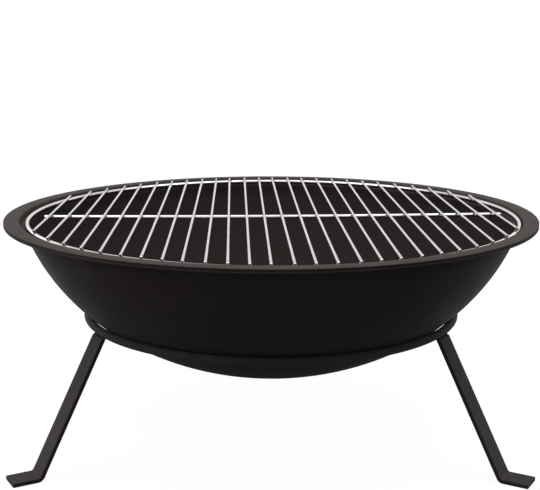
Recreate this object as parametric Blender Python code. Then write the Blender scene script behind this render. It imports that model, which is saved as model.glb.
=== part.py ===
"""A portable fire pit grill: a pressed steel bowl on a three-legged stand, under a wire cooking grill.

The part stands on z = 0 with the bowl's axis on Z, and its front is -Y. Units are metres.
"""

import math

import bmesh
import bpy

# Clearance kept between pieces that touch or are welded together.
TOUCH_GAP = 0.0003

# The bowl's rim.
RIM_RADIUS = 0.280
RIM_HEIGHT = 0.247
FLANGE_WIDTH = 0.0161
LIP_DROP = 0.0042
RECESS_DEPTH = 0.0066
LEDGE_WIDTH = 0.0082

# The bowl's wall, which is half an ellipse under a short neck.
SHEET = 0.0012
SHEET_BEND = 0.0006
BOWL_DEPTH = 0.1702
NECK_HEIGHT = 0.0145
WALL_LEAN = 23.6

# The stand: a ring of round bar on legs of flat bar, evenly spaced from the first one, at the back.
STAND_RING_RADIUS = 0.197
STAND_BAR = 0.0085
LEG_COUNT = 3
LEG_WIDTH = 0.0245
LEG_THICKNESS = 0.0042
LEG_SPREAD = 0.0694
LEG_BEND = 0.0055
FOOT_LENGTH = 0.0285
FIRST_LEG_ANGLE = 90

# The wire grill, which lies loose in the bowl's recess: turned a little from square, and to the right by a
# share of the play round its ring. Its cross bar is welded in front of its middle, and not quite square.
GRILL_PLAY = 0.0033
GRILL_SHIFT_SHARE = 0.66
GRILL_ANGLE = 1.74
GRILL_RING_WIRE = 0.0046
GRILL_WIRE = 0.0027
GRILL_BAR_COUNT = 26
OUTER_BAR_INSET = 0.0231
GRILL_BAR_OVERHANG = 0.003
CROSS_BAR_WIRE = 0.0042
CROSS_BAR_OVERHANG = 0.0098
CROSS_BAR_SETTING = -0.006
CROSS_BAR_TURN = 0.95

# How finely round shapes are divided.
ROUND_STEPS = 72
WALL_STEPS = 13
NECK_STEPS = 3
BEND_STEPS = 2
LEG_BEND_STEPS = 5
STAND_BAR_SIDES = 12
WIRE_SIDES = 8

# Places that follow from the sizes above.
RECESS_RADIUS = RIM_RADIUS - FLANGE_WIDTH
MOUTH_RADIUS = RECESS_RADIUS - LEDGE_WIDTH
LEDGE_HEIGHT = RIM_HEIGHT - RECESS_DEPTH
GRILL_RING_RADIUS = RECESS_RADIUS - GRILL_PLAY - GRILL_RING_WIRE / 2
OUTER_BAR_OFFSET = GRILL_RING_RADIUS - OUTER_BAR_INSET


def clear_scene():
    for old in list(bpy.data.objects):
        bpy.data.objects.remove(old, do_unlink=True)


def principled(name, colour, roughness, metallic):
    """A plain Principled material."""
    material = bpy.data.materials.new(name)
    material.use_nodes = True
    shader = material.node_tree.nodes["Principled BSDF"]
    shader.inputs["Base Color"].default_value = (*colour, 1.0)
    shader.inputs["Roughness"].default_value = roughness
    shader.inputs["Metallic"].default_value = metallic
    material.diffuse_color = (*colour, 1.0)
    return material


def add_object(name, mesh, material, parent):
    piece = bpy.data.objects.new(name, mesh)
    bpy.context.scene.collection.objects.link(piece)
    if not mesh.materials:
        mesh.materials.append(material)
    piece.parent = parent
    return piece


def add_empty(name, height, turn=0.0):
    """A parent for the pieces that move together."""
    empty = bpy.data.objects.new(name, None)
    empty.location.z = height
    empty.rotation_euler.z = math.radians(turn)
    bpy.context.scene.collection.objects.link(empty)
    return empty


def unit(x, z):
    length = math.hypot(x, z)
    return x / length, z / length


def bent_path(corners, radius, steps):
    """Points with left-hand normals along straight runs through corners rounded to a radius."""
    path = []
    for index in range(1, len(corners) - 1):
        before, corner, after = corners[index - 1 : index + 2]
        ax, az = unit(corner[0] - before[0], corner[1] - before[1])
        bx, bz = unit(after[0] - corner[0], after[1] - corner[1])
        turn = math.atan2(ax * bz - az * bx, ax * bx + az * bz)
        reach = radius * math.tan(abs(turn) / 2)
        side = math.copysign(1.0, turn)
        start = (corner[0] - ax * reach, corner[1] - az * reach)
        centre = (start[0] - az * side * radius, start[1] + ax * side * radius)
        for step in range(steps + 1):
            angle = turn * step / steps
            nx = -az * math.cos(angle) - ax * math.sin(angle)
            nz = ax * math.cos(angle) - az * math.sin(angle)
            path.append(((centre[0] - nx * side * radius, centre[1] - nz * side * radius), (nx, nz)))
    first, last = unit_normal(corners[0], corners[1]), unit_normal(corners[-2], corners[-1])
    return [(corners[0], first), *path, (corners[-1], last)]


def unit_normal(start, end):
    """The left-hand normal of the run from start to end."""
    x, z = unit(end[0] - start[0], end[1] - start[1])
    return -z, x


def both_faces(path, thickness):
    """The left and right faces of a sheet whose middle follows a path."""
    half = thickness / 2
    left = [(p[0] + n[0] * half, p[1] + n[1] * half) for p, n in path]
    right = [(p[0] - n[0] * half, p[1] - n[1] * half) for p, n in path]
    return left, right


def wall_ellipse():
    """Where the wall's middle leaves the neck, and its ellipse: (angle, width, rise, centre height).

    The ellipse stands on the bowl's bottom and leans by WALL_LEAN where the neck starts, and the
    angle is that of the neck's start, counted from the bottom.
    """
    lean = math.radians(WALL_LEAN)
    neck_radius = NECK_HEIGHT / math.sin(lean)
    start_radius = MOUTH_RADIUS + SHEET / 2 - neck_radius * (1 - math.cos(lean))
    bottom = RIM_HEIGHT - BOWL_DEPTH + SHEET / 2
    start_height = LEDGE_HEIGHT - SHEET - NECK_HEIGHT
    height = start_height - bottom
    share = math.tan(lean) * height / start_radius
    below = share / (1 - share)
    rise = height / (1 - below)
    width = start_radius / math.sqrt(1 - below * below)
    return math.acos(below), width, rise, bottom + rise


def ellipse_point(angle):
    """A point of the wall's middle and the normal there that points into the bowl."""
    _, width, rise, centre = wall_ellipse()
    point = (width * math.sin(angle), centre - rise * math.cos(angle))
    return point, unit(-math.sin(angle) / width, math.cos(angle) / rise)


def wall_path():
    """The wall's middle from the bottom's centre up to the end of the neck."""
    last = wall_ellipse()[0]
    path = [ellipse_point(last * step / WALL_STEPS) for step in range(WALL_STEPS + 1)]
    lean = math.radians(WALL_LEAN)
    neck_radius = NECK_HEIGHT / math.sin(lean)
    centre_radius = MOUTH_RADIUS + SHEET / 2 - neck_radius
    neck_top = LEDGE_HEIGHT - SHEET
    for step in range(1, NECK_STEPS + 1):
        angle = lean * (1 - step / NECK_STEPS)
        point = (centre_radius + neck_radius * math.cos(angle), neck_top - neck_radius * math.sin(angle))
        path.append((point, (-math.cos(angle), math.sin(angle))))
    return path


def rim_path():
    """The rim's middle: the ledge, the recess's wall, the flange and the turned-down lip."""
    half = SHEET / 2
    corners = [
        (MOUTH_RADIUS + half, LEDGE_HEIGHT - SHEET),
        (MOUTH_RADIUS + half, LEDGE_HEIGHT - half),
        (RECESS_RADIUS + half, LEDGE_HEIGHT - half),
        (RECESS_RADIUS + half, RIM_HEIGHT - half),
        (RIM_RADIUS - half, RIM_HEIGHT - half),
        (RIM_RADIUS - half, RIM_HEIGHT - LIP_DROP),
    ]
    return bent_path(corners, SHEET_BEND + half, BEND_STEPS)


def add_turned(name, profile, closed, material, parent):
    """A profile of radii and heights turned about the parent's Z, with its outer side running down."""
    base = parent.location.z
    mesh = bpy.data.meshes.new(name)
    edges = [(i, i + 1) for i in range(len(profile) - 1)]
    if closed:
        edges.append((len(profile) - 1, 0))
    mesh.from_pydata([(radius, 0.0, height - base) for radius, height in profile], edges, [])
    piece = add_object(name, mesh, material, parent)
    screw = piece.modifiers.new("Turned", "SCREW")
    screw.angle = math.radians(360)
    screw.steps = ROUND_STEPS
    screw.render_steps = ROUND_STEPS
    screw.use_merge_vertices = True
    screw.merge_threshold = 0.00001
    screw.use_smooth_shade = True
    return piece


def add_bowl(material, parent):
    """The bowl, pressed from one sheet."""
    inner, outer = both_faces(wall_path()[:-1] + rim_path()[1:], SHEET)
    add_turned("bowl", inner + outer[::-1], False, material, parent)


def round_section(radius, height, diameter, sides):
    """The section of a round bar bent to a ring, running down its outer side."""
    turns = [-2 * math.pi * side / sides for side in range(sides)]
    return [(radius + diameter / 2 * math.cos(a), height + diameter / 2 * math.sin(a)) for a in turns]


def stand_ring_height():
    """The height of the stand ring's centreline, where its bar meets the bowl's wall."""
    reach = SHEET / 2 + TOUCH_GAP + STAND_BAR / 2
    low, high = 0.0, math.pi / 2
    while high - low > 1e-9:
        angle = (low + high) / 2
        point, normal = ellipse_point(angle)
        if point[0] - normal[0] * reach < STAND_RING_RADIUS:
            low = angle
        else:
            high = angle
    return point[1] - normal[1] * reach


def leg_outline(top):
    """The leg's side view: its end under the ring, its slope down to the heel, and its foot."""
    half = LEG_THICKNESS / 2
    lean = math.atan2(LEG_SPREAD, top - half)
    top_radius = STAND_RING_RADIUS + STAND_BAR / 2 - half / math.cos(lean)
    heel = (top_radius + LEG_SPREAD, half)
    corners = [(top_radius, top), heel, (heel[0] + FOOT_LENGTH, half)]
    outer, inner = both_faces(bent_path(corners, LEG_BEND, LEG_BEND_STEPS), LEG_THICKNESS)
    # The top is cut level, so that its whole end meets the ring's bar.
    shift = half / math.cos(lean)
    outer[0] = (top_radius + shift, top)
    inner[0] = (top_radius - shift, top)
    return outer + inner[::-1]


def leg_mesh(top):
    """A leg of flat bar, with its outward direction along X."""
    shape = bmesh.new()
    side = [shape.verts.new((radius, -LEG_WIDTH / 2, height)) for radius, height in leg_outline(top)]
    face = shape.faces.new(side)
    extruded = bmesh.ops.extrude_face_region(shape, geom=[face])
    moved = [item for item in extruded["geom"] if isinstance(item, bmesh.types.BMVert)]
    bmesh.ops.translate(shape, vec=(0.0, LEG_WIDTH, 0.0), verts=moved)
    bmesh.ops.recalc_face_normals(shape, faces=shape.faces)
    mesh = bpy.data.meshes.new("leg")
    shape.to_mesh(mesh)
    shape.free()
    return mesh


def leg_name(angle):
    """A leg is named after where it stands, seen from the front."""
    across, along = round(math.cos(angle), 3), round(math.sin(angle), 3)
    words = ["leg"]
    if along:
        words.append("rear" if along > 0 else "front")
    if across:
        words.append("right" if across > 0 else "left")
    return "_".join(words)


def add_stand(material):
    """The ring that carries the bowl, and the legs under it."""
    stand = add_empty("stand", 0.0)
    height = stand_ring_height()
    section = round_section(STAND_RING_RADIUS, height, STAND_BAR, STAND_BAR_SIDES)
    add_turned("stand_ring", section, True, material, stand)
    mesh = leg_mesh(height - STAND_BAR / 2 - TOUCH_GAP)
    for step in range(LEG_COUNT):
        angle = math.radians(FIRST_LEG_ANGLE + 360 * step / LEG_COUNT)
        leg = add_object(leg_name(angle), mesh, material, stand)
        leg.rotation_euler.z = angle


def rod_mesh(name, length, diameter):
    """A straight wire along Y, centred on its origin."""
    shape = bmesh.new()
    bmesh.ops.create_cone(
        shape, cap_ends=True, segments=WIRE_SIDES, radius1=diameter / 2, radius2=diameter / 2, depth=length
    )
    for vert in shape.verts:
        vert.co.y, vert.co.z = -vert.co.z, vert.co.y
    mesh = bpy.data.meshes.new(name)
    shape.to_mesh(mesh)
    shape.free()
    mesh.shade_smooth()
    mesh.set_sharp_from_angle(angle=math.radians(60))
    return mesh


def add_grill(material):
    """The grill's ring, the bars that lie across it and the bar that ties them from below."""
    ring_height = LEDGE_HEIGHT + TOUCH_GAP + GRILL_RING_WIRE / 2
    bar_height = ring_height + GRILL_RING_WIRE / 2 + TOUCH_GAP + GRILL_WIRE / 2
    cross_height = bar_height - GRILL_WIRE / 2 - TOUCH_GAP - CROSS_BAR_WIRE / 2
    grill = add_empty("grill", ring_height, GRILL_ANGLE)
    grill.location.x = GRILL_PLAY * GRILL_SHIFT_SHARE
    section = round_section(GRILL_RING_RADIUS, ring_height, GRILL_RING_WIRE, WIRE_SIDES)
    add_turned("grill_ring", section, True, material, grill)
    for number in range(GRILL_BAR_COUNT):
        offset = OUTER_BAR_OFFSET * (2 * number / (GRILL_BAR_COUNT - 1) - 1)
        half_length = math.sqrt(GRILL_RING_RADIUS**2 - offset**2) + GRILL_BAR_OVERHANG
        name = f"grill_bar_{number + 1:02d}"
        bar = add_object(name, rod_mesh(name, 2 * half_length, GRILL_WIRE), material, grill)
        bar.location = (offset, 0.0, bar_height - ring_height)
    cross_length = 2 * (OUTER_BAR_OFFSET + CROSS_BAR_OVERHANG)
    cross_mesh = rod_mesh("grill_cross_bar", cross_length, CROSS_BAR_WIRE)
    cross = add_object("grill_cross_bar", cross_mesh, material, grill)
    cross.location = (0.0, CROSS_BAR_SETTING, cross_height - ring_height)
    cross.rotation_euler.z = math.radians(90 + CROSS_BAR_TURN)


def main():
    clear_scene()
    black = principled("black_paint", (0.016, 0.015, 0.0145), 0.48, 0.0)
    dull_black = principled("stand_paint", (0.022, 0.021, 0.02), 0.5, 0.0)
    chrome = principled("chrome_wire", (0.74, 0.74, 0.75), 0.16, 1.0)
    add_stand(dull_black)
    add_bowl(black, add_empty("bowl_lift", stand_ring_height()))
    add_grill(chrome)


main()
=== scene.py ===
"""The looks of the fire pit grill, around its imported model: metres, +Z up, the front is -Y."""

import math

import bmesh
import bpy
from mathutils import Matrix, Vector, noise

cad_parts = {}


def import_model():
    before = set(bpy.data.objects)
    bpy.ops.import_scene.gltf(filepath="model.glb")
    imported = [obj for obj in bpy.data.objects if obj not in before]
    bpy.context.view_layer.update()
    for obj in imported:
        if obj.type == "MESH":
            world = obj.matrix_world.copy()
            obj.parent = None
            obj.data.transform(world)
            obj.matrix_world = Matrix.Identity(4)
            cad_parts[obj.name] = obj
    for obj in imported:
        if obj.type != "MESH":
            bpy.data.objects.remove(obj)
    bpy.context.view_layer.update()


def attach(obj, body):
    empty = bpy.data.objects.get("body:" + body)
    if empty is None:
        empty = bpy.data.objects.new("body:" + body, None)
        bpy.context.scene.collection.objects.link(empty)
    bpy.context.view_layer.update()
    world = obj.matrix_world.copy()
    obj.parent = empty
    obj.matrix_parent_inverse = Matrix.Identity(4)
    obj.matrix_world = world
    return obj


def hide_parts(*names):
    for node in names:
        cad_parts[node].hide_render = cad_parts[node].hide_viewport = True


# The model's own sizes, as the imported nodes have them.
TOUCH_GAP = 0.0003
RIM_RADIUS = 0.280
RIM_HEIGHT = 0.247
FLANGE_WIDTH = 0.0161
LIP_DROP = 0.0042
RECESS_DEPTH = 0.0066
LEDGE_WIDTH = 0.0082
SHEET = 0.0012
SHEET_BEND = 0.0006
BOWL_DEPTH = 0.1702
NECK_HEIGHT = 0.0145
WALL_LEAN = 23.6
STAND_RING_RADIUS = 0.197
STAND_BAR = 0.0085
LEG_WIDTH = 0.0245
LEG_THICKNESS = 0.0042
LEG_SPREAD = 0.0694
LEG_BEND = 0.0055
FOOT_LENGTH = 0.0285
GRILL_PLAY = 0.0033
GRILL_SHIFT_SHARE = 0.66
GRILL_ANGLE = 1.74
GRILL_RING_WIRE = 0.0046
GRILL_WIRE = 0.0027
GRILL_BAR_COUNT = 26
OUTER_BAR_INSET = 0.0231
GRILL_BAR_OVERHANG = 0.003
CROSS_BAR_WIRE = 0.0042
CROSS_BAR_OVERHANG = 0.0098
CROSS_BAR_SETTING = -0.006
CROSS_BAR_TURN = 0.95
LEGS = {"leg_front_left": 210, "leg_front_right": 330, "leg_rear": 90}

# Places that follow from them.
RECESS_RADIUS = RIM_RADIUS - FLANGE_WIDTH
MOUTH_RADIUS = RECESS_RADIUS - LEDGE_WIDTH
LEDGE_HEIGHT = RIM_HEIGHT - RECESS_DEPTH
GRILL_RING_RADIUS = RECESS_RADIUS - GRILL_PLAY - GRILL_RING_WIRE / 2
OUTER_BAR_OFFSET = GRILL_RING_RADIUS - OUTER_BAR_INSET
BAR_SPACING = 2 * OUTER_BAR_OFFSET / (GRILL_BAR_COUNT - 1)
RING_HEIGHT = LEDGE_HEIGHT + TOUCH_GAP + GRILL_RING_WIRE / 2
WELD_HEIGHT = RING_HEIGHT + GRILL_RING_WIRE / 2 + TOUCH_GAP / 2
BAR_HEIGHT = WELD_HEIGHT + TOUCH_GAP / 2 + GRILL_WIRE / 2
CROSS_HEIGHT = WELD_HEIGHT - TOUCH_GAP / 2 - CROSS_BAR_WIRE / 2
GRILL_SHIFT = GRILL_PLAY * GRILL_SHIFT_SHARE
CROSS_BAR_HALF = OUTER_BAR_OFFSET + CROSS_BAR_OVERHANG

# What the visual pieces add to them.
EDGE_ROUND = 0.0005
LIP_INSET = 0.0011
HEM_RADIUS = 0.0007
LEG_EDGE = 0.0005
CROSS_BAR_BOW = 0.007
CROSS_BAR_BOW_LEVEL = 0.45
CROSS_BAR_SLIDE = 0.0015
WIRE_TIP = 0.55
WIRE_TIP_FLAT = 0.35
WIRE_SWAY = 0.00012
WIRE_SWAY_RATE = 9
LEG_WELD_RADIUS = 0.0013
LEG_WELD_INSET = 0.0008
LEG_WELD_SINK = 0.0003
LEG_WELD_LIFT = 0.0001
LEG_WELD_PITCH = 0.0024
EDGE_WELD_SHARE = 0.6
EDGE_WELD_INSET = 0.0004
EDGE_WELD_LENGTH = 0.003
EDGE_WELD_PITCH = 0.0019
BEAD_RIPPLE = 0.18
BEAD_END = 0.2
BEAD_SWELL = 0.1
BEAD_SWELL_RATE = 300
RING_NUGGET = (0.0017, 0.0015, 0.0009)
CROSS_NUGGET = (0.0013, 0.0014, 0.0008)
NUGGET_SWELL = 0.22
NUGGET_SWELL_RATE = 1.6
CROSS_NUGGET_SEED = 40
CROSS_BAR_SEED = 90

# How far each grill bar was welded from its even place, in mm, and from square, in degrees.
BAR_STRAYS = (
    (0.2, 0.8), (0.9, 0.5), (0.2, 0.2), (0.5, 0.2), (0.4, 0.1), (1.1, 0.1), (0.7, 0.0), (0.6, 0.0), (0.2, 0.2),
    (0.2, 0.0), (-0.6, -0.2), (-0.4, -0.1), (-0.8, 0.0), (-1.1, -0.3), (-0.8, -0.1), (-1.3, -0.2), (-0.5, -0.3),
    (-0.4, -0.1), (-0.9, 0.0), (-0.3, -0.1), (-0.6, -0.2), (-0.1, -0.1), (0.6, 0.0), (0.4, -0.3), (1.0, -0.6),
    (1.2, -0.9),
)

# How finely they are divided.
ROUND_STEPS = 240
WALL_STEPS = 48
NECK_STEPS = 8
BEND_STEPS = 6
RING_SIDES = 24
WIRE_SIDES = 16
WIRE_RUNS = 8
CROSS_BAR_RUNS = 40
TIP_STEPS = 4
LEG_WELD_STEPS = 30
EDGE_WELD_STEPS = 10
LEG_EDGE_STEPS = 3
LEG_EDGE_ANGLE = 50

# Where most of a noise's values lie.
NOISE_RANGE = (0.3, 0.7)

# The paints. Each SCALE is of the noise that makes it.
BOWL_COLOUR = (0.052, 0.0445, 0.042)
STAND_COLOUR = (0.078, 0.070, 0.067)
PAINT_ROUGHNESS = 0.55
PAINT_ROUGHNESS_CLOUDS = 0.035
PAINT_ROUGHNESS_RUBBED = 0.06
PAINT_ROUGHNESS_FINE = 0.05
PAINT_IOR = 1.08
PAINT_CLOUD_SCALE = 7.0
PAINT_CLOUD_DARK = 0.88
PAINT_CLOUD_PALE = 1.12
PAINT_FINE_SCALE = 850.0
PAINT_PEEL_SCALE = 190.0
PAINT_PEEL_HEIGHT = 1.6
PAINT_RUBBED_SCALE = 23.0
PAINT_RUBBED_RANGE = (0.52, 0.74)
PAINT_RUBBED_SHARE = 0.3
PAINT_RUBBED_PALE = 1.35
PAINT_DUST_SCALE = 620.0
PAINT_DUST_RANGE = (0.735, 0.80)
PAINT_DUST_SHARE = 0.3
PAINT_DUST_PALE = 3.0
PAINT_BUMP = (0.35, 0.00006)
BOWL_GRAIN = 0.8
STAND_GRAIN = 1.0
# Painted shade inside the bowl: how dark it makes the paint below the ledge, how much duller the paint is there,
# which faces take it, and where it starts and is full.
INSIDE_SHADE_SHARE = 0.6
INSIDE_DULLING = 0.3
INSIDE_SHADE_FACING = 0.03
INSIDE_SHADE_EDGE = 0.004
INSIDE_SHADE_START = 0.001
INSIDE_SHADE_FULL = -0.006

# The chrome.
CHROME_PALE = (0.66, 0.64, 0.632)
CHROME_DEEP = (0.56, 0.54, 0.532)
CHROME_HEATED = (0.15, 0.14, 0.132)
CHROME_ROUGHNESS = (0.10, 0.16)
CHROME_CLOUD_SCALE = 45.0
CHROME_BUMP = (0.25, 0.00005)
DRAW_LINES = 30.0
DRAW_LINE_SCALE = 60.0
DRAW_LINE_DULLING = 0.05
HEAT_REACH = 0.0016
HEAT_CORE = 0.45
HEAT_DULLING = 0.22
HEAT_MOTTLE_SCALE = 480.0
HEAT_MOTTLE_RANGE = (0.25, 0.6)
HEAT_MOTTLE_LEAST = 0.55
HEAT_MOTTLE_HEIGHT = 3.0
CROSS_HEAT = 0.2
WELD_HEAT = 0.35
WELD_HEAT_SCALE = 300.0

# The camera.
IMAGE_WIDTH = 540
FOCAL_PIXELS = 1084.35
SENSOR = 36.0
CAMERA_PLACE = (-0.0012, -1.14836, 0.44336)
CAMERA_DROP = 11.4576
CAMERA_ROLL = 0.136

# The studio.
FLOOR_COLOUR = (0.12, 0.12, 0.12)
FLOOR_REACH = 40.0
FLOOR_DROP = 0.0002
FLOOR_LIFT = 0.96
FLOOR_LIFT_NEAR = 0.5
FLOOR_LIFT_FAR = 1.6
FLOOR_SHADE_REACH = 0.35
FLOOR_SHADE_POWER = 2.0
WORLD_LIGHT = 0.1
# Each lamp's place, the height on the axis that it faces, its width and height, and its radiance.
SOFTBOXES = {
    "softbox_above": ((0.0, 0.2, 1.9), 0.2, (1.9, 1.7), 1.2),
    "softbox_left": ((-1.05, -0.25, 1.9), 0.15, (1.5, 1.5), 2.5),
    "softbox_right": ((1.05, -0.25, 1.9), 0.15, (1.5, 1.5), 2.2),
    "softbox_side": ((-2.0, -0.5, 0.7), 0.1, (1.2, 1.2), 1.2),
    "softbox_front": ((0.0, -2.8, 0.6), 0.2, (2.4, 0.9), 0.35),
    "softbox_back_left": ((-1.9, 1.9, 0.9), 0.1, (1.2, 1.2), 1.0),
    "softbox_back_right": ((1.9, 1.9, 0.9), 0.1, (1.2, 1.2), 1.0),
}


# Shapes.

def unit(x, z):
    length = math.hypot(x, z)
    return x / length, z / length


def unit_normal(start, end):
    x, z = unit(end[0] - start[0], end[1] - start[1])
    return -z, x


def bent_path(corners, radius, steps):
    """Points with left-hand normals along straight runs through corners rounded to a radius."""
    path = []
    for index in range(1, len(corners) - 1):
        before, corner, after = corners[index - 1 : index + 2]
        ax, az = unit(corner[0] - before[0], corner[1] - before[1])
        bx, bz = unit(after[0] - corner[0], after[1] - corner[1])
        turn = math.atan2(ax * bz - az * bx, ax * bx + az * bz)
        reach = radius * math.tan(abs(turn) / 2)
        side = math.copysign(1.0, turn)
        start = (corner[0] - ax * reach, corner[1] - az * reach)
        centre = (start[0] - az * side * radius, start[1] + ax * side * radius)
        for step in range(steps + 1):
            angle = turn * step / steps
            nx = -az * math.cos(angle) - ax * math.sin(angle)
            nz = ax * math.cos(angle) - az * math.sin(angle)
            path.append(((centre[0] - nx * side * radius, centre[1] - nz * side * radius), (nx, nz)))
    first, last = unit_normal(corners[0], corners[1]), unit_normal(corners[-2], corners[-1])
    return [(corners[0], first), *path, (corners[-1], last)]


def both_faces(path, thickness):
    half = thickness / 2
    left = [(p[0] + n[0] * half, p[1] + n[1] * half) for p, n in path]
    right = [(p[0] - n[0] * half, p[1] - n[1] * half) for p, n in path]
    return left, right


def wall_ellipse():
    """(angle, width, rise, centre height) of the ellipse that the wall's middle follows up to the neck."""
    lean = math.radians(WALL_LEAN)
    neck_radius = NECK_HEIGHT / math.sin(lean)
    start_radius = MOUTH_RADIUS + SHEET / 2 - neck_radius * (1 - math.cos(lean))
    bottom = RIM_HEIGHT - BOWL_DEPTH + SHEET / 2
    height = LEDGE_HEIGHT - SHEET - NECK_HEIGHT - bottom
    share = math.tan(lean) * height / start_radius
    below = share / (1 - share)
    rise = height / (1 - below)
    return math.acos(below), start_radius / math.sqrt(1 - below * below), rise, bottom + rise


def ellipse_point(angle):
    _, width, rise, centre = wall_ellipse()
    point = (width * math.sin(angle), centre - rise * math.cos(angle))
    return point, unit(-math.sin(angle) / width, math.cos(angle) / rise)


def wall_path():
    last = wall_ellipse()[0]
    path = [ellipse_point(last * step / WALL_STEPS) for step in range(WALL_STEPS + 1)]
    lean = math.radians(WALL_LEAN)
    neck_radius = NECK_HEIGHT / math.sin(lean)
    centre_radius = MOUTH_RADIUS + SHEET / 2 - neck_radius
    for step in range(1, NECK_STEPS + 1):
        angle = lean * (1 - step / NECK_STEPS)
        height = LEDGE_HEIGHT - SHEET - neck_radius * math.sin(angle)
        path.append(((centre_radius + neck_radius * math.cos(angle), height), (-math.cos(angle), math.sin(angle))))
    return path


def arc(centre, radius, first, last, steps):
    angles = [math.radians(first + (last - first) * step / steps) for step in range(steps + 1)]
    return [(centre[0] + radius * math.cos(a), centre[1] + radius * math.sin(a)) for a in angles]


def bowl_profile():
    """The sheet's whole outline: up its inside, over the flange, round the hem and back down its outside."""
    half = SHEET / 2
    corners = [
        (MOUTH_RADIUS + half, LEDGE_HEIGHT - SHEET),
        (MOUTH_RADIUS + half, LEDGE_HEIGHT - half),
        (RECESS_RADIUS + half, LEDGE_HEIGHT - half),
        (RECESS_RADIUS + half, RIM_HEIGHT - half),
        (RIM_RADIUS - EDGE_ROUND, RIM_HEIGHT - half),
    ]
    rim = bent_path(corners, SHEET_BEND + half, BEND_STEPS)
    inside, outside = both_faces(wall_path()[:-1] + rim[1:], SHEET)
    # The lip leans in under the flange's edge, and its hem stands out again below it.
    hem = (RIM_RADIUS - HEM_RADIUS, RIM_HEIGHT - LIP_DROP + HEM_RADIUS)
    edge = arc((RIM_RADIUS - EDGE_ROUND, RIM_HEIGHT - EDGE_ROUND), EDGE_ROUND, 90, -20, BEND_STEPS)[1:]
    rolled = arc(hem, HEM_RADIUS, math.degrees(math.acos(1 - LIP_INSET / HEM_RADIUS)), -180, 3 * BEND_STEPS)
    under = [(RIM_RADIUS - LIP_INSET - SHEET, RIM_HEIGHT - SHEET - half)]
    return inside + edge + rolled + under + outside[::-1]


def stand_ring_height():
    reach = SHEET / 2 + TOUCH_GAP + STAND_BAR / 2
    low, high = 0.0, math.pi / 2
    while high - low > 1e-9:
        angle = (low + high) / 2
        point, normal = ellipse_point(angle)
        if point[0] - normal[0] * reach < STAND_RING_RADIUS:
            low = angle
        else:
            high = angle
    return point[1] - normal[1] * reach


def add_piece(name, verts, faces, material, body, nodes, slot, turn=0.0, shift=0.0):
    """A smooth-shaded mesh that rides on a body, and stands for the CAD nodes it is given."""
    mesh = bpy.data.meshes.new(name)
    mesh.from_pydata(verts, [], faces)
    mesh.validate()
    mesh.shade_smooth()
    mesh.materials.append(material)
    piece = bpy.data.objects.new(name, mesh)
    bpy.context.scene.collection.objects.link(piece)
    piece.rotation_euler.z = math.radians(turn)
    piece.location.x = shift
    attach(piece, body)
    if nodes:
        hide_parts(*nodes)
    return piece


def add_grill_piece(name, shape, material, nodes=()):
    """A piece of the loose grill, which lies a little turned and off-centre in the recess."""
    add_piece(name, *shape, material, "grill", nodes, "chrome_wire", GRILL_ANGLE, GRILL_SHIFT)


def turned(profile, steps, closed):
    """Verts and faces of a profile turned about Z. An open profile starts and ends on the axis."""
    verts, rings = [], []
    for radius, height in profile:
        if radius < 1e-6:
            rings.append([len(verts)] * steps)
            verts.append((0.0, 0.0, height))
            continue
        rings.append(list(range(len(verts), len(verts) + steps)))
        for step in range(steps):
            angle = 2 * math.pi * step / steps
            verts.append((radius * math.cos(angle), radius * math.sin(angle), height))
    pairs = list(zip(rings, rings[1:]))
    if closed:
        pairs.append((rings[-1], rings[0]))
    faces = []
    for low, high in pairs:
        for step in range(steps):
            after = (step + 1) % steps
            corners = [low[step], low[after], high[after], high[step]]
            faces.append(list(dict.fromkeys(corners)))
    return verts, faces


def round_section(radius, height, diameter, sides):
    turns = [-2 * math.pi * side / sides for side in range(sides)]
    return [(radius + diameter / 2 * math.cos(a), height + diameter / 2 * math.sin(a)) for a in turns]


def tube(points, radii, sides):
    """Verts and faces of a level tube through points, each with its own radius, closed by a flat face at each end."""
    verts, faces = [], []
    for index, (point, radius) in enumerate(zip(points, radii)):
        before, after = points[max(index - 1, 0)], points[min(index + 1, len(points) - 1)]
        along = (Vector(after) - Vector(before)).normalized()
        across = along.cross(Vector((0, 0, 1))).normalized()
        up = across.cross(along)
        for side in range(sides):
            angle = 2 * math.pi * (side + 0.5) / sides
            verts.append(tuple(Vector(point) + radius * (math.cos(angle) * across + math.sin(angle) * up)))
    for index in range(len(points) - 1):
        for side in range(sides):
            after = (side + 1) % sides
            low, high = index * sides, (index + 1) * sides
            faces.append([low + side, high + side, high + after, low + after])
    faces.append(list(range(sides)))
    last = (len(points) - 1) * sides
    faces.append([last + side for side in reversed(range(sides))])
    return verts, faces


def wire(start, end, diameter, seed, runs=WIRE_RUNS):
    """A straight wire with its tips rounded by the plating, and the slight sway of drawn wire."""
    start, end = Vector(start), Vector(end)
    along = (end - start).normalized()
    length, radius = (end - start).length, diameter / 2
    tip = WIRE_TIP * radius
    across = Vector((along.y, -along.x, 0.0))
    turns = [math.pi / 2 * step / TIP_STEPS for step in range(TIP_STEPS + 1)]
    places = [tip * (1 - math.cos(turn)) for turn in turns]
    widths = [radius * (WIRE_TIP_FLAT + (1 - WIRE_TIP_FLAT) * math.sin(turn)) for turn in turns]
    middle = [length * step / runs for step in range(1, runs)]
    stations = places + middle + [length - place for place in reversed(places)]
    radii = widths + [radius] * len(middle) + widths[::-1]
    points = []
    for station in stations:
        bend = WIRE_SWAY * noise.noise(Vector((station * WIRE_SWAY_RATE, seed * 3.7, 0.0)))
        points.append(tuple(start + along * station + across * bend))
    return tube(points, radii, WIRE_SIDES)


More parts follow.
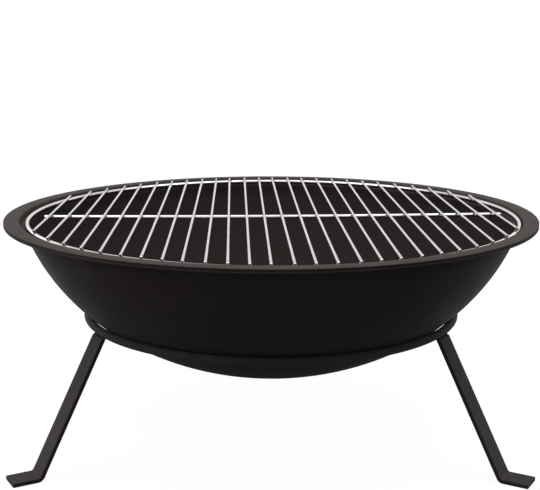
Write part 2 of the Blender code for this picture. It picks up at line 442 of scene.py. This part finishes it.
def blob(centre, size, turn, seed):
    """A small uneven nugget of weld metal."""
    shape = bmesh.new()
    bmesh.ops.create_icosphere(shape, subdivisions=2, radius=1.0)
    spin = Matrix.Rotation(turn, 3, "Z")
    verts = []
    for vert in shape.verts:
        swell = 1 + NUGGET_SWELL * noise.noise(vert.co * NUGGET_SWELL_RATE + Vector((seed * 5.3, seed * 1.7, 0.0)))
        local = Vector((vert.co.x * size[0], vert.co.y * size[1], vert.co.z * size[2])) * swell
        verts.append(tuple(Vector(centre) + spin @ local))
    faces = [[vert.index for vert in face.verts] for face in shape.faces]
    shape.free()
    return verts, faces


def joined(parts):
    """Several (verts, faces) as one."""
    verts, faces = [], []
    for part_verts, part_faces in parts:
        base = len(verts)
        verts += part_verts
        faces += [[base + index for index in face] for face in part_faces]
    return verts, faces


def bead(points, radius, pitch, seed):
    """A weld bead: a tube whose radius ripples once a pitch and tapers at both ends."""
    total = sum((Vector(b) - Vector(a)).length for a, b in zip(points, points[1:]))
    done, radii = 0.0, []
    for index, point in enumerate(points):
        if index:
            done += (Vector(point) - Vector(points[index - 1])).length
        ripple = abs(math.sin(math.pi * done / pitch + seed))
        taper = min(1.0, math.sqrt(max(0.0, 1 - (abs(2 * done / total - 1)) ** 6)) + BEAD_END)
        swell = 1 + BEAD_SWELL * noise.noise(Vector((done * BEAD_SWELL_RATE, seed, 0.0)))
        radii.append(radius * (1 - BEAD_RIPPLE + BEAD_RIPPLE * ripple) * taper * swell)
    return tube(points, radii, WIRE_SIDES)


def leg_outline(top):
    """The leg's outer and inner faces, from its end under the ring to its foot."""
    half = LEG_THICKNESS / 2
    lean = math.atan2(LEG_SPREAD, top - half)
    top_radius = STAND_RING_RADIUS + STAND_BAR / 2 - half / math.cos(lean)
    heel = (top_radius + LEG_SPREAD, half)
    corners = [(top_radius, top), heel, (heel[0] + FOOT_LENGTH, half)]
    outer, inner = both_faces(bent_path(corners, LEG_BEND, 3 * BEND_STEPS), LEG_THICKNESS)
    shift = half / math.cos(lean)
    outer[0] = (top_radius + shift, top)
    inner[0] = (top_radius - shift, top)
    return outer, inner


# Materials.

class Nodes:
    """A node tree, with short ways to add to it."""

    def __init__(self, tree):
        self.tree = tree

    def add(self, kind, inputs=None, **settings):
        node = self.tree.nodes.new(kind)
        for key, value in settings.items():
            setattr(node, key, value)
        for socket, value in (inputs or {}).items():
            if isinstance(value, bpy.types.NodeSocket):
                self.tree.links.new(value, node.inputs[socket])
            else:
                node.inputs[socket].default_value = value
        return node

    def math(self, operation, *values):
        return self.add("ShaderNodeMath", dict(enumerate(values)), operation=operation).outputs[0]

    def spread(self, value, low, high, to_low=0.0, to_high=1.0):
        inputs = {"Value": value, "From Min": low, "From Max": high, "To Min": to_low, "To Max": to_high}
        return self.add("ShaderNodeMapRange", inputs).outputs["Result"]

    def rays(self):
        """Whether a ray comes straight from the camera, and whether it comes by way of metal or glass."""
        path = self.add("ShaderNodeLightPath").outputs
        return path["Is Camera Ray"], self.math("MAXIMUM", path["Is Glossy Ray"], path["Is Transmission Ray"])


class Shader(Nodes):
    """A material's nodes, around its surface and the place on the object."""

    def __init__(self, name):
        self.material = bpy.data.materials.new(name)
        self.material.use_nodes = True
        super().__init__(self.material.node_tree)
        self.surface = self.tree.nodes["Principled BSDF"]
        self.place = self.add("ShaderNodeTexCoord").outputs["Object"]

    def set(self, **values):
        """Plain values for the surface's sockets, with _ for a space in their names."""
        for socket, value in values.items():
            self.surface.inputs[socket.replace("_", " ")].default_value = value

    def noise(self, scale, detail=2.0, place=None, roughness=0.5):
        inputs = {"Vector": place or self.place, "Scale": scale, "Detail": detail, "Roughness": roughness}
        return self.add("ShaderNodeTexNoise", inputs).outputs["Fac"]

    def split(self, vector):
        return self.add("ShaderNodeSeparateXYZ", {"Vector": vector}).outputs

    def mix(self, share, first, second):
        node = self.add("ShaderNodeMix", {"Factor": share}, data_type="RGBA")
        for socket, value in (("A", first), ("B", second)):
            target = next(s for s in node.inputs if s.name == socket and s.type == "RGBA")
            if isinstance(value, bpy.types.NodeSocket):
                self.tree.links.new(value, target)
            else:
                target.default_value = (*value, 1.0)
        return next(s for s in node.outputs if s.type == "RGBA")

    def stretched(self, x, y, z):
        return self.add("ShaderNodeMapping", {"Vector": self.place, "Scale": (x, y, z)}).outputs[0]

    def drive(self, socket, value):
        self.tree.links.new(value, self.surface.inputs[socket])

    def bump(self, height, strength, distance):
        inputs = {"Height": height, "Strength": strength, "Distance": distance}
        self.drive("Normal", self.add("ShaderNodeBump", inputs).outputs[0])


def scaled(colour, share):
    return tuple(channel * share for channel in colour)


def paint(name, colour, grain, shaded_inside=False):
    """Satin black stove paint: fine grain, soft clouds in tone and gloss, and a few pale dust specks.

    Inside the bowl, below the ledge, it is darker, which is painted shade, and it is duller there.
    """
    shader = Shader(name)
    shader.set(IOR=PAINT_IOR)
    cloud = shader.noise(PAINT_CLOUD_SCALE, 3.0)
    fine = shader.noise(PAINT_FINE_SCALE, 2.0)
    peel = shader.noise(PAINT_PEEL_SCALE, 1.0)
    rubbed = shader.spread(shader.noise(PAINT_RUBBED_SCALE, 4.0, roughness=0.62), *PAINT_RUBBED_RANGE)
    dust = shader.spread(shader.noise(PAINT_DUST_SCALE, 1.0), *PAINT_DUST_RANGE, 0.0, PAINT_DUST_SHARE)
    dark, pale = scaled(colour, PAINT_CLOUD_DARK), scaled(colour, PAINT_CLOUD_PALE)
    tone = shader.mix(shader.spread(cloud, *NOISE_RANGE), dark, pale)
    worn = shader.math("MULTIPLY", rubbed, PAINT_RUBBED_SHARE)
    tone = shader.mix(worn, tone, scaled(colour, PAINT_RUBBED_PALE))
    tone = shader.mix(dust, tone, scaled(colour, PAINT_DUST_PALE))
    low, high = PAINT_ROUGHNESS - PAINT_ROUGHNESS_CLOUDS, PAINT_ROUGHNESS + PAINT_ROUGHNESS_CLOUDS
    gloss = shader.spread(cloud, *NOISE_RANGE, low, high)
    gloss = shader.math("SUBTRACT", gloss, shader.math("MULTIPLY", rubbed, PAINT_ROUGHNESS_RUBBED))
    gloss = shader.math("ADD", gloss, shader.math("MULTIPLY", fine, PAINT_ROUGHNESS_FINE))
    if shaded_inside:
        # Painted shade: the paint is darker inside the bowl, below the ledge.
        inside_shade = interior_shade_mask(shader, cloud)
        tone = shader.mix(inside_shade, tone, scaled(colour, INSIDE_SHADE_SHARE))
        gloss = shader.math("ADD", gloss, shader.math("MULTIPLY", inside_shade, INSIDE_DULLING))
    shader.drive("Base Color", tone)
    shader.drive("Roughness", gloss)
    peel = shader.math("MULTIPLY", peel, PAINT_PEEL_HEIGHT)
    shader.bump(shader.math("ADD", peel, shader.math("MULTIPLY", fine, grain)), *PAINT_BUMP)
    return shader.material


def interior_shade_mask(shader, cloud):
    """Where the painted shade inside the bowl lies: a face below the ledge that looks up, with an uneven edge."""
    height = shader.split(shader.place)["Z"]
    edge = shader.spread(cloud, 0.2, 0.8, -INSIDE_SHADE_EDGE, INSIDE_SHADE_EDGE)
    height = shader.math("ADD", height, edge)
    below = shader.spread(height, LEDGE_HEIGHT + INSIDE_SHADE_START, LEDGE_HEIGHT + INSIDE_SHADE_FULL)
    facing = shader.split(shader.add("ShaderNodeNewGeometry").outputs["Normal"])["Z"]
    up = shader.math("GREATER_THAN", facing, INSIDE_SHADE_FACING)
    return shader.math("MULTIPLY", below, up)


def chrome(name, heated, lines=(DRAW_LINES, 1.0, DRAW_LINES)):
    """Chrome plate over drawn wire: fine draw lines, dulled where heated(shader) says a weld was made."""
    shader = Shader(name)
    shader.set(Metallic=1.0)
    streak = shader.noise(DRAW_LINE_SCALE, 3.0, shader.stretched(*lines))
    cloud = shader.noise(CHROME_CLOUD_SCALE, 3.0)
    mottle = shader.noise(HEAT_MOTTLE_SCALE, 2.0)
    patchy = shader.spread(mottle, *HEAT_MOTTLE_RANGE, HEAT_MOTTLE_LEAST, 1.0)
    heat = shader.math("MULTIPLY", heated(shader), patchy)
    tone = shader.mix(shader.spread(cloud, *NOISE_RANGE), CHROME_DEEP, CHROME_PALE)
    shader.drive("Base Color", shader.mix(heat, tone, CHROME_HEATED))
    gloss = shader.spread(cloud, *NOISE_RANGE, *CHROME_ROUGHNESS)
    gloss = shader.math("ADD", gloss, shader.math("MULTIPLY", streak, DRAW_LINE_DULLING))
    shader.drive("Roughness", shader.math("ADD", gloss, shader.math("MULTIPLY", heat, HEAT_DULLING)))
    scale = shader.math("MULTIPLY", shader.math("MULTIPLY", heat, mottle), HEAT_MOTTLE_HEIGHT)
    shader.bump(shader.math("ADD", streak, scale), *CHROME_BUMP)
    return shader.material


def near(shader, distance):
    """1 where a distance is small, fading to 0 at the heat's reach."""
    return shader.spread(distance, HEAT_REACH, HEAT_REACH * HEAT_CORE)


def heated_bar(shader):
    """A grill bar is dull where it is welded to the ring, and a little where it crosses the cross bar."""
    x, y, _ = shader.split(shader.place)
    square = shader.math("MULTIPLY", x, x)
    radius = shader.math("SQRT", shader.math("MULTIPLY_ADD", y, y, square))
    at_ring = shader.math("ABSOLUTE", shader.math("SUBTRACT", radius, GRILL_RING_RADIUS))
    bow = shader.math("MULTIPLY_ADD", square, CROSS_BAR_BOW / CROSS_BAR_HALF**2, cross_line(0))
    cross = shader.math("MULTIPLY_ADD", x, math.tan(math.radians(CROSS_BAR_TURN)), bow)
    at_cross = near(shader, shader.math("ABSOLUTE", shader.math("SUBTRACT", y, cross)))
    return shader.math("MAXIMUM", near(shader, at_ring), shader.math("MULTIPLY", at_cross, CROSS_HEAT))


def heated_under(shader):
    """The ring and the cross bar are dull under each grill bar."""
    x = shader.split(shader.place)["X"]
    distance = shader.math("PINGPONG", shader.math("ADD", x, OUTER_BAR_OFFSET), BAR_SPACING / 2)
    inside = shader.math("LESS_THAN", shader.math("ABSOLUTE", x), OUTER_BAR_OFFSET + HEAT_REACH)
    return shader.math("MULTIPLY", near(shader, distance), inside)


def heated_all(shader):
    """Weld metal is dull all over, in patches."""
    return shader.math("ADD", shader.noise(WELD_HEAT_SCALE), WELD_HEAT)


# The pieces.

def add_bowl(material):
    verts, faces = turned(bowl_profile(), ROUND_STEPS, False)
    add_piece("bowl_shell", verts, faces, material, "bowl", ["bowl"], "bowl_paint")


def add_leg(name, angle, top, material):
    outer, inner = leg_outline(top)
    half = LEG_WIDTH / 2
    outline = outer + inner[::-1]
    verts = [(x, -half, z) for x, z in outline] + [(x, half, z) for x, z in outline]
    count, last = len(outline), len(outer) - 1
    faces = []
    for index in range(count):
        after = (index + 1) % count
        faces.append([index, after, count + after, count + index])
    for base in (0, count):
        for index in range(last):
            quad = [base + index, base + index + 1, base + count - 2 - index, base + count - 1 - index]
            faces.append(quad if base else quad[::-1])
    leg = add_piece(name + "_bar", verts, faces, material, "stand", [name], "stand_paint", angle)
    shape = bmesh.new()
    shape.from_mesh(leg.data)
    bmesh.ops.recalc_face_normals(shape, faces=shape.faces)
    shape.to_mesh(leg.data)
    shape.free()
    soften = leg.modifiers.new("Edges", "BEVEL")
    soften.width = LEG_EDGE
    soften.segments = LEG_EDGE_STEPS
    soften.limit_method = "ANGLE"
    soften.angle_limit = math.radians(LEG_EDGE_ANGLE)
    soften.harden_normals = True


def add_leg_weld(name, angle, top, material):
    """The fillet that ties a leg's top to the ring: one bead behind it, and a short run up each edge."""
    _, inner = leg_outline(top)
    half = LEG_WIDTH / 2
    inner_radius = inner[0][0]
    across = [(step / LEG_WELD_STEPS - 0.5) * 2 * (half - LEG_WELD_INSET) for step in range(LEG_WELD_STEPS + 1)]
    behind = [(inner_radius - LEG_WELD_SINK, y, top - LEG_WELD_LIFT) for y in across]
    parts = [bead(behind, LEG_WELD_RADIUS, LEG_WELD_PITCH, angle)]
    outward = [EDGE_WELD_LENGTH * step / EDGE_WELD_STEPS for step in range(EDGE_WELD_STEPS + 1)]
    for side in (-1, 1):
        y = side * (half - EDGE_WELD_INSET)
        edge = [(inner_radius + LEG_WELD_SINK + x, y, top + LEG_WELD_LIFT) for x in outward]
        parts.append(bead(edge, LEG_WELD_RADIUS * EDGE_WELD_SHARE, EDGE_WELD_PITCH, angle + side))
    verts, faces = joined(parts)
    add_piece(name + "_weld", verts, faces, material, "stand", (), "stand_paint", angle)


def add_stand(material):
    height = stand_ring_height()
    section = round_section(STAND_RING_RADIUS, height, STAND_BAR, RING_SIDES)
    verts, faces = turned(section, ROUND_STEPS, True)
    add_piece("stand_ring_bar", verts, faces, material, "stand", ["stand_ring"], "stand_paint")
    top = height - STAND_BAR / 2 - TOUCH_GAP
    for name, angle in LEGS.items():
        add_leg(name, angle, top, material)
        add_leg_weld(name, angle, top, material)


def bar_line(number):
    """A grill bar's offset at the cross bar and its slope, as it was welded."""
    stray, turn = BAR_STRAYS[number]
    return -OUTER_BAR_OFFSET + BAR_SPACING * number + stray / 1000, math.tan(math.radians(turn))


def cross_line(x):
    """How far back the cross bar lies at a place along it: a little skew, and bowed to the front."""
    skew = CROSS_BAR_SETTING + math.tan(math.radians(CROSS_BAR_TURN)) * x
    return skew + CROSS_BAR_BOW * ((x / CROSS_BAR_HALF) ** 2 - CROSS_BAR_BOW_LEVEL)


def bar_at_ring(offset, slope, side):
    """Where a bar's line crosses the grill ring's centreline on one side, -1 in front and 1 behind."""
    square, half = 1 + slope * slope, offset * slope
    along = (side * math.sqrt(half * half + square * (GRILL_RING_RADIUS**2 - offset**2)) - half) / square
    return Vector((offset + slope * along, along, 0.0))


def add_grill(bar_material, under_material, cross_material, weld_material):
    section = round_section(GRILL_RING_RADIUS, RING_HEIGHT, GRILL_RING_WIRE, RING_SIDES)
    add_grill_piece("grill_ring_wire", turned(section, ROUND_STEPS, True), under_material, ["grill_ring"])
    nuggets = []
    for number in range(GRILL_BAR_COUNT):
        offset, slope = bar_line(number)
        front, back = (bar_at_ring(offset, slope, side) for side in (-1, 1))
        past = (back - front).normalized() * GRILL_BAR_OVERHANG
        level = Vector((0.0, 0.0, BAR_HEIGHT))
        node = f"grill_bar_{number + 1:02d}"
        shape = wire(front - past + level, back + past + level, GRILL_WIRE, number)
        add_grill_piece(node + "_wire", shape, bar_material, [node])
        for side, crossing in ((-1, front), (1, back)):
            turn = math.atan2(-crossing.x, crossing.y)
            place = (crossing.x, crossing.y, WELD_HEIGHT)
            nuggets.append(blob(place, RING_NUGGET, turn, number + side))
        across = cross_line(offset)
        place = (offset + slope * across, across, WELD_HEIGHT)
        nuggets.append(blob(place, CROSS_NUGGET, 0.0, number + CROSS_NUGGET_SEED))
    add_grill_piece("grill_welds", joined(nuggets), weld_material)
    reaches = [side * CROSS_BAR_HALF + CROSS_BAR_SLIDE for side in (-1, 1)]
    ends = [(reach, cross_line(reach), CROSS_HEIGHT) for reach in reaches]
    verts, faces = wire(*ends, CROSS_BAR_WIRE, CROSS_BAR_SEED, CROSS_BAR_RUNS)
    straight = (ends[1][1] - ends[0][1]) / (ends[1][0] - ends[0][0])
    verts = [(x, y + cross_line(x) - ends[0][1] - straight * (x - ends[0][0]), z) for x, y, z in verts]
    add_grill_piece("grill_cross_wire", (verts, faces), cross_material, ["grill_cross_bar"])


# The studio.

def add_floor():
    """A pale floor that shows white straight on and in metal, and keeps the object's shadow."""
    mesh = bpy.data.meshes.new("floor")
    corners = [(-1, -1), (1, -1), (1, 1), (-1, 1)]
    mesh.from_pydata([(x * FLOOR_REACH, y * FLOOR_REACH, -FLOOR_DROP) for x, y in corners], [], [[0, 1, 2, 3]])
    floor = bpy.data.objects.new("floor", mesh)
    bpy.context.scene.collection.objects.link(floor)
    shader = Shader("floor")
    shader.set(Base_Color=(*FLOOR_COLOUR, 1.0), Roughness=0.9, Specular_IOR_Level=0.0)
    straight, mirrored = shader.rays()
    shade = shader.add("ShaderNodeAmbientOcclusion", {"Distance": FLOOR_SHADE_REACH}, samples=8).outputs["AO"]
    shaded = shader.math("MULTIPLY", mirrored, shader.math("POWER", shade, FLOOR_SHADE_POWER))
    seen = shader.math("MAXIMUM", straight, shaded)
    distance = shader.add("ShaderNodeVectorMath", {0: shader.place}, operation="LENGTH").outputs["Value"]
    lift = shader.spread(distance, FLOOR_LIFT_NEAR, FLOOR_LIFT_FAR, FLOOR_LIFT, 1.0)
    shader.set(Emission_Color=(1.0, 1.0, 1.0, 1.0))
    shader.drive("Emission Strength", shader.math("MULTIPLY", seen, lift))
    mesh.materials.append(shader.material)


def add_world():
    world = bpy.data.worlds.new("studio")
    bpy.context.scene.world = world
    world.use_nodes = True
    sky = Nodes(world.node_tree)
    background = sky.tree.nodes["Background"]
    background.inputs["Color"].default_value = (1.0, 1.0, 1.0, 1.0)
    strength = sky.spread(sky.math("MAXIMUM", *sky.rays()), 0.0, 1.0, WORLD_LIGHT, 1.0)
    sky.tree.links.new(strength, background.inputs["Strength"])


def add_softbox(name, place, facing, size, radiance):
    light = bpy.data.lights.new(name, "AREA")
    light.shape = "RECTANGLE"
    light.size, light.size_y = size
    light.energy = radiance * math.pi * size[0] * size[1]
    box = bpy.data.objects.new(name, light)
    box.location = place
    box.rotation_euler = (Vector((0.0, 0.0, facing)) - Vector(place)).to_track_quat("-Z", "Y").to_euler()
    bpy.context.scene.collection.objects.link(box)


def add_camera():
    camera = bpy.data.cameras.new("camera")
    camera.sensor_width = SENSOR
    camera.lens = FOCAL_PIXELS / IMAGE_WIDTH * SENSOR
    camera.clip_start, camera.clip_end = 0.05, 100.0
    view = bpy.data.objects.new("camera", camera)
    tilt = Matrix.Rotation(math.radians(90 - CAMERA_DROP), 4, "X")
    roll = Matrix.Rotation(math.radians(CAMERA_ROLL), 4, "Z")
    view.matrix_world = Matrix.Translation(CAMERA_PLACE) @ tilt @ roll
    bpy.context.scene.collection.objects.link(view)
    bpy.context.scene.camera = view


def main():
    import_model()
    # The bowl's paint carries a painted shade inside, below the ledge.
    add_bowl(paint("bowl_paint", BOWL_COLOUR, BOWL_GRAIN, shaded_inside=True))
    add_stand(paint("stand_paint", STAND_COLOUR, STAND_GRAIN))
    add_grill(
        chrome("chrome_bar", heated_bar),
        chrome("chrome_ring", heated_under),
        chrome("chrome_cross", heated_under, (1.0, DRAW_LINES, DRAW_LINES)),
        chrome("chrome_weld", heated_all),
    )
    add_floor()
    add_world()
    for name, lamp in SOFTBOXES.items():
        add_softbox(name, *lamp)
    add_camera()
    bpy.context.scene.view_settings.view_transform = "Standard"


main()
